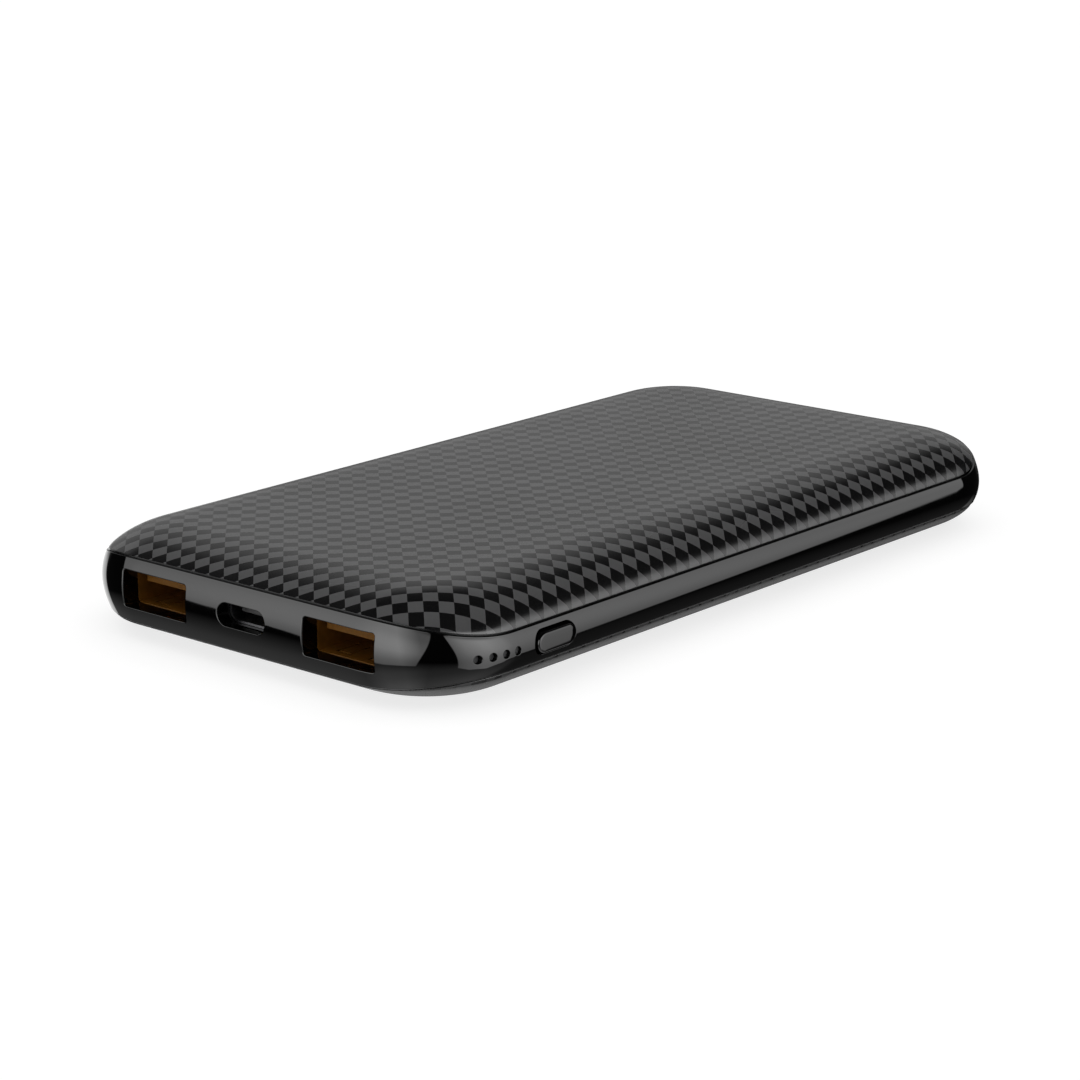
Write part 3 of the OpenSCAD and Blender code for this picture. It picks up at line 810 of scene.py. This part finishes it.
def moulded(name, low, high, rough, per_mm=1.2, depth_mm=0.01, **fixed):
    """Plastic, resin, foam and card: two shades, a grain and a fine relief."""
    made, n = material(name)
    place = n.place()
    grain = n.noise(place, per_mm, 4.0)
    cloud = n.noise(place, per_mm / 8, 2.0)
    shade = n.maths("MULTIPLY_ADD", grain, 0.6, n.maths("MULTIPLY", cloud, 0.4))
    colour = n.mix(n.remap(shade, 0.3, 0.7), low, high)
    n.surface(colour, n.remap(grain, 0.3, 0.7, rough[0], rough[1]), n.bump(grain, depth_mm, 0.5), **fixed)
    return made


def metal(name, low, high, rough, along=(1, 1, 1), per_mm=1.5, depth_mm=0.004, amount=1.0):
    """Rolled or plated metal: marks drawn out along the sheet, and uneven brightness."""
    made, n = material(name)
    place = n.place()
    marks = n.noise(n.stretched(place, along), per_mm, 4.0)
    cloud = n.noise(place, per_mm / 5, 2.0)
    colour = n.mix(n.remap(cloud, 0.3, 0.7), low, high)
    rough_out = n.remap(marks, 0.3, 0.7, rough[0], rough[1])
    n.surface(colour, rough_out, n.bump(marks, depth_mm, 0.4), Metallic=amount)
    return made


def circuit_green(name, mask, copper):
    """Solder mask over copper runs, with fine pads showing through."""
    made, n = material(name)
    place = n.place()
    cells = n.add("ShaderNodeTexVoronoi", distance="CHEBYCHEV", feature="F1")
    cells.inputs["Scale"].default_value = 0.45 / MM
    cells.inputs["Randomness"].default_value = 0.75
    n.link(place, cells.inputs["Vector"])
    runs = n.remap(cells.outputs["Distance"], 0.42, 0.46)
    pads = n.remap(cells.outputs["Distance"], 0.11, 0.09)
    grain = n.noise(place, 2.0, 3.0)
    lit = tuple(min(1.0, c * 1.6) for c in mask[:3]) + (1.0,)
    dim = tuple(c * 0.6 for c in mask[:3]) + (1.0,)
    colour = n.mix(runs, n.mix(n.remap(grain, 0.3, 0.7), mask, lit), dim)
    colour = n.mix(n.maths("MULTIPLY", pads, 0.8), colour, copper)
    n.surface(colour, n.remap(grain, 0.3, 0.7, 0.28, 0.4), n.bump(runs, 0.02, 0.6))
    return made


def clear_resin():
    """Smoked, frosted light guide, dark while the lights are off."""
    made, n = material("frosted_guide")
    place = n.place()
    grain = n.noise(place, 2.5, 3.0)
    colour = n.mix(n.remap(grain, 0.3, 0.7), rgb(0.022, 0.022, 0.023), rgb(0.034, 0.034, 0.035))
    rough = n.remap(grain, 0.3, 0.7, 0.42, 0.52)
    n.surface(colour, rough, n.bump(grain, 0.006, 0.4), IOR=1.35)
    return made


def wound_copper():
    """Enamelled wire wound round the inductor's post, with painted shade in the grooves between turns."""
    made, n = material("wound_copper")
    place = n.place()
    low, high = node_box("inductor_coil")
    centred = n.add("ShaderNodeMapping")
    n.link(place, centred.inputs["Vector"])
    centred.inputs["Location"].default_value = tuple(-(low + high) / 2 * MM)
    rings = n.add("ShaderNodeTexWave", wave_type="RINGS", rings_direction="Z")
    rings.inputs["Scale"].default_value = 0.35 / MM
    rings.inputs["Distortion"].default_value = 0.0
    n.link(centred.outputs["Vector"], rings.inputs["Vector"])
    # Painted shade: the colour follows the turns' relief, dark in the grooves between turns and light on
    # their crests.
    colour = n.mix(rings.outputs["Fac"], rgb(0.28, 0.08, 0.02), rgb(0.75, 0.32, 0.12))
    rough = n.remap(rings.outputs["Fac"], 0.0, 1.0, 0.4, 0.22)
    n.surface(colour, rough, n.bump(rings.outputs["Fac"], 0.08, 0.8), Metallic=1.0)
    return made


def pouch_foil():
    """Aluminium laminate: soft creases with painted shade in their hollows, and a satin face."""
    made, n = material("pouch_foil")
    place = n.place()
    crease = n.noise(n.stretched(place, (1, 0.35, 1)), 0.12, 5.0)
    grain = n.noise(place, 3.0, 3.0)
    # Painted shade: the colour follows the creases' relief, darker in their hollows and lighter on their
    # ridges.
    colour = n.mix(n.remap(crease, 0.35, 0.65), rgb(0.50, 0.51, 0.53), rgb(0.66, 0.67, 0.69))
    rough = n.remap(grain, 0.3, 0.7, 0.26, 0.36)
    n.surface(colour, rough, n.bump(crease, 0.12, 0.6), Metallic=0.85)
    return made


MAKERS = {
    "cover_plastic": checked_plastic,
    "cover_inside": plain_plastic,
    "gloss_band": lambda: gloss_black("band_gloss", 0.0014),
    "gloss_button": lambda: gloss_black("button_gloss", 0.0016),
    "board_green": lambda: circuit_green("green_board", rgb(0.01, 0.09, 0.035), rgb(0.8, 0.55, 0.2)),
    "board_blue": lambda: circuit_green("blue_board", rgb(0.012, 0.06, 0.2), rgb(0.8, 0.55, 0.2)),
    "steel": lambda: metal("dark_nickel", rgb(0.10, 0.10, 0.105), rgb(0.17, 0.17, 0.175), (0.26, 0.4)),
    "socket_orange": lambda: metal(
        "orange_shell", rgb(0.20, 0.082, 0.008), rgb(0.26, 0.108, 0.011), (0.34, 0.46), (1, 0.15, 1), 2.0,
        amount=0.35),
    "tongue_orange": lambda: moulded(
        "orange_tongue", rgb(0.27, 0.112, 0.012), rgb(0.36, 0.15, 0.016), (0.45, 0.6), 2.0,
        Specular_IOR_Level=0.2),
    "gold_contacts": lambda: metal("gold_plate", rgb(0.78, 0.55, 0.2), rgb(0.95, 0.72, 0.32), (0.16, 0.28)),
    "black_resin": lambda: moulded(
        "black_resin", rgb(0.012, 0.012, 0.012), rgb(0.028, 0.028, 0.028), (0.4, 0.6)),
    "white_resin": lambda: moulded("white_resin", rgb(0.66, 0.65, 0.6), rgb(0.8, 0.79, 0.75), (0.3, 0.45)),
    "clear_guide": clear_resin,
    "ferrite": lambda: moulded(
        "ferrite", rgb(0.022, 0.022, 0.024), rgb(0.05, 0.05, 0.052), (0.55, 0.75), 3.0, 0.03),
    "copper": wound_copper,
    "chip_black": lambda: moulded(
        "chip_resin", rgb(0.012, 0.012, 0.013), rgb(0.026, 0.026, 0.028), (0.45, 0.62), 4.0),
    "capacitor_can": lambda: metal(
        "drawn_can", rgb(0.6, 0.61, 0.63), rgb(0.78, 0.79, 0.8), (0.2, 0.32), (1, 1, 0.1)),
    "ceramic_tan": lambda: moulded(
        "tan_ceramic", rgb(0.32, 0.2, 0.11), rgb(0.45, 0.3, 0.17), (0.35, 0.5), 5.0),
    "pouch_foil": pouch_foil,
    "tape_cream": lambda: moulded(
        "cream_tape", rgb(0.62, 0.58, 0.42), rgb(0.76, 0.72, 0.56), (0.35, 0.5), 1.0),
    "tape_amber": lambda: moulded(
        "amber_tape", rgb(0.42, 0.2, 0.03), rgb(0.56, 0.29, 0.05), (0.18, 0.3), 0.8),
    "nickel": lambda: metal(
        "nickel_strip", rgb(0.6, 0.59, 0.54), rgb(0.75, 0.74, 0.69), (0.2, 0.34), (1, 0.2, 1)),
    "lead_red": lambda: moulded(
        "red_sleeve", rgb(0.42, 0.01, 0.008), rgb(0.6, 0.02, 0.015), (0.3, 0.45), 2.0),
    "lead_black": lambda: moulded(
        "black_sleeve", rgb(0.01, 0.01, 0.01), rgb(0.03, 0.03, 0.03), (0.3, 0.45), 2.0),
    "foam_grey": lambda: moulded(
        "grey_foam", rgb(0.03, 0.03, 0.03), rgb(0.1, 0.1, 0.1), (0.85, 1.0), 4.0, 0.2),
}

FINISHES = {}


def finish_for(slot):
    if slot not in FINISHES:
        FINISHES[slot] = MAKERS[slot]()
    return FINISHES[slot]


def dress(piece, slot, second=None):
    """Puts a slot's finish on a piece, in place of whatever it came with, and maybe a second one."""
    wanted = 2 if second else 1
    while len(piece.material_slots) < wanted:
        piece.data.materials.append(None)
    for count, holder in enumerate(piece.material_slots):
        holder.link = "OBJECT"
        holder.material = finish_for(second if second and count else slot)


def ease_edges(node, width_mm):
    """A small bevel, so that a CAD node's edges catch the light."""
    bevel = frame["nodes"][node].modifiers.new("eased_edges", "BEVEL")
    bevel.width = width_mm * MM
    bevel.segments = 2
    bevel.limit_method = "ANGLE"
    bevel.angle_limit = math.radians(50)
    bevel.use_clamp_overlap = True


# ---------------------------------------------------------------- studio

FLOOR_HALF = 6.0
FLOOR_DROP = 0.00002
FLOOR_GLOW = 0.78
BACKGROUND = 0.93

CAMERA_AZIMUTH = math.radians(40.539)
CAMERA_ELEVATION = math.radians(15.401)
CAMERA_ROLL = math.radians(-0.128)
CAMERA_AIM = Vector((-0.00265, -0.00281, 0.00459))
CAMERA_DISTANCE = 0.44546
CAMERA_LENS = 98.789


def build_floor():
    """A pale, faintly lit sheet under the object, open from below. The object gets no light from it."""
    corners = [(x * FLOOR_HALF, y * FLOOR_HALF, 0) for x, y in ((-1, -1), (1, -1), (1, 1), (-1, 1))]
    mesh = bpy.data.meshes.new("floor")
    mesh.from_pydata(corners, [], [(0, 1, 2, 3)])
    floor = bpy.data.objects.new("floor", mesh)
    bpy.context.scene.collection.objects.link(floor)
    floor.location.z = -FLOOR_DROP
    floor.visible_glossy = False
    floor.visible_diffuse = False
    paint, n = material("pale_floor")
    matte = n.add("ShaderNodeBsdfDiffuse")
    place = n.add("ShaderNodeTexCoord").outputs["Object"]
    shade = n.remap(n.noise(place, 0.01, 2.0), 0.3, 0.7)
    n.link(n.mix(shade, rgb(0.33, 0.33, 0.33), rgb(0.34, 0.34, 0.34)), matte.inputs["Color"])
    glow = n.add("ShaderNodeEmission")
    glow.inputs["Strength"].default_value = FLOOR_GLOW
    lit = n.add("ShaderNodeAddShader")
    n.link(matte.outputs["BSDF"], lit.inputs[0])
    n.link(glow.outputs["Emission"], lit.inputs[1])
    clear = n.add("ShaderNodeBsdfTransparent")
    side = n.add("ShaderNodeNewGeometry")
    either = n.add("ShaderNodeMixShader")
    n.link(side.outputs["Backfacing"], either.inputs["Fac"])
    n.link(lit.outputs["Shader"], either.inputs[1])
    n.link(clear.outputs["BSDF"], either.inputs[2])
    out = n.add("ShaderNodeOutputMaterial")
    n.link(either.outputs["Shader"], out.inputs["Surface"])
    mesh.materials.append(paint)


def build_world():
    """A grey studio round the object: tall soft panels at the sides, dim above and behind."""
    world = bpy.data.worlds.new("studio")
    bpy.context.scene.world = world
    world.use_nodes = True
    world.cycles_visibility.diffuse = False
    n = Nodes(world.node_tree)
    way = n.add("ShaderNodeTexCoord").outputs["Generated"]
    parts = n.add("ShaderNodeSeparateXYZ")
    n.link(way, parts.inputs[0])
    x, y, z = parts.outputs
    degrees = 180 / math.pi
    up = n.maths("MULTIPLY", n.maths("ARCSINE", z), degrees)
    turn = n.maths("MULTIPLY", n.maths("ARCTAN2", x, n.maths("MULTIPLY", y, -1.0)), degrees)

    def along(value, points):
        """Straight lines through (value, result) points."""
        total = points[0][1]
        for (a, low), (b, high) in zip(points, points[1:]):
            total = n.maths("ADD", total, n.remap(value, a, b, 0.0, high - low, smooth=False))
        return total

    def above(value, edge, soft):
        return n.remap(n.maths("SUBTRACT", value, edge), -soft, soft)

    def panel(left, right, bottom, top, level, soft=0.6):
        """A lit patch of the studio between two azimuths and two elevations, in degrees."""
        past_right = above(turn, right, soft)
        shape = n.maths("MULTIPLY", above(turn, left, soft), n.maths("SUBTRACT", 1.0, past_right))
        shape = n.maths("MULTIPLY", shape, above(up, bottom, soft))
        shape = n.maths("MULTIPLY", shape, n.maths("SUBTRACT", 1.0, above(up, top, 4.0)))
        return n.maths("MULTIPLY", shape, level)

    def slant(base, slope):
        return n.maths("MULTIPLY_ADD", up, slope, base)

    # Front panel: its lower edge drops towards the near corner
    front_low = along(turn, [(-50.5, -5), (-46, -11), (-44.8, -16), (-40, -22), (-10, -25)])
    front_level = n.maths(
        "MULTIPLY",
        along(turn, [(-58, 1.8), (-48, 2.2), (-43.5, 3.1), (-30, 4.0), (-10, 5.4), (10, 5.9), (34, 2.4)]),
        along(up, [(-24, 0.33), (-17, 0.53), (-11, 0.75), (-6, 0.93), (0, 1.0), (6, 0.98), (15, 0.8)]),
    )
    total = panel(-58.5, slant(36.5, 0.46), front_low, 26, front_level)
    # Side panel: brightest towards the near corner, and it ends past the light side
    side_low = along(turn, [(66, -30), (84, -39), (108, -42), (134, -28), (145, -22)])
    side_end = along(up, [(-30, 141.4), (0, 145), (20, 152.5)])
    side_level = n.maths(
        "MULTIPLY",
        along(turn, [
            (66, 2.4), (79, 3.95), (98, 5.1), (105, 5.1), (122, 3.9), (130, 2.9), (139, 2.4), (146, 1.8),
        ]),
        along(up, [(-36, 0.41), (-22, 0.58), (-10, 0.75), (5, 1.0), (17, 1.13), (25, 1.18)]),
    )
    total = n.maths("ADD", total, panel(slant(66.4, -0.09), side_end, side_low, 30, side_level))
    # A panel past the far side, which lights the outline's left edge
    total = n.maths("ADD", total, panel(-132, -98, -32, -6, 1.6, 2.0))
    # Dim backdrop, far behind the object
    total = n.maths("ADD", total, panel(-168, -98, -2, 36, 0.48, 9.0))
    # A soft glow from below, strongest under the near corner and fading along the light side
    glow = along(up, [(-62, 0.95), (-43, 0.52), (-34, 0.42), (-19, 0.0)])
    near_corner = along(turn, [(-40, 1.0), (-12, 1.9), (12, 1.9), (38, 0.9)])
    light_side = along(turn, [(110, 1.0), (136, 0.7), (145, 0.3), (152, 0.18), (165, 0.13)])
    glow = n.maths("MULTIPLY", n.maths("MULTIPLY", glow, near_corner), light_side)
    total = n.maths("ADD", total, glow)
    total = n.maths("ADD", total, 0.012)

    seen = n.add("ShaderNodeLightPath").outputs["Is Camera Ray"]
    strength = n.add("ShaderNodeMix", data_type="FLOAT")
    n.link(seen, strength.inputs["Factor"])
    n.link(total, strength.inputs["A"])
    strength.inputs["B"].default_value = BACKGROUND
    light = n.add("ShaderNodeBackground")
    n.link(strength.outputs["Result"], light.inputs["Strength"])
    out = n.add("ShaderNodeOutputWorld")
    n.link(light.outputs["Background"], out.inputs["Surface"])


def build_lamp(name, towards, energy, spread_deg):
    """A broad soft light for the matte surfaces, coming from one way."""
    lamp = bpy.data.lights.new(name, "SUN")
    lamp.energy = energy
    lamp.angle = math.radians(spread_deg)
    holder = bpy.data.objects.new(name, lamp)
    holder.rotation_euler = Vector(towards).to_track_quat("Z", "Y").to_euler()
    holder.visible_glossy = False
    bpy.context.scene.collection.objects.link(holder)


def build_camera():
    data = bpy.data.cameras.new("camera")
    data.sensor_width = 36.0
    data.lens = CAMERA_LENS
    data.clip_start = 0.01
    back = Vector((
        math.sin(CAMERA_AZIMUTH) * math.cos(CAMERA_ELEVATION),
        -math.cos(CAMERA_AZIMUTH) * math.cos(CAMERA_ELEVATION),
        math.sin(CAMERA_ELEVATION),
    ))
    right = Vector((math.cos(CAMERA_AZIMUTH), math.sin(CAMERA_AZIMUTH), 0))
    up = back.cross(right)
    turned_right = math.cos(CAMERA_ROLL) * right + math.sin(CAMERA_ROLL) * up
    turned_up = math.cos(CAMERA_ROLL) * up - math.sin(CAMERA_ROLL) * right
    camera = bpy.data.objects.new("camera", data)
    camera.matrix_world = Matrix.Translation(CAMERA_AIM + back * CAMERA_DISTANCE) @ Matrix((
        turned_right, turned_up, back,
    )).transposed().to_4x4()
    bpy.context.scene.collection.objects.link(camera)
    bpy.context.scene.camera = camera


# ---------------------------------------------------------------- put it together

build_camera()
build_floor()
build_world()
build_lamp("overhead", (0, 0, 1), 2.0, 110)
build_lamp("fill", (0.65, -0.76, 0.25), 0.9, 110)
bpy.context.scene.view_settings.view_transform = "Standard"

dress(build_top_cover(), "cover_plastic", "cover_inside")
dress(build_bottom_cover(), "cover_plastic", "cover_inside")
dress(build_band(), "gloss_band")
dress(build_button(), "gloss_button")

slot_of = {part["node"]: part["material_slot"] for part in frame["record"]["subparts"]}
for name, node in frame["nodes"].items():
    if not node.hide_render:
        dress(node, slot_of[name])

for name in ("usb_c_shell", "left_usb_a_shell", "right_usb_a_shell"):
    ease_edges(name, 0.06)
for name in ("usb_c_tongue", "left_usb_a_tongue", "right_usb_a_tongue", "light_guide"):
    ease_edges(name, 0.1)
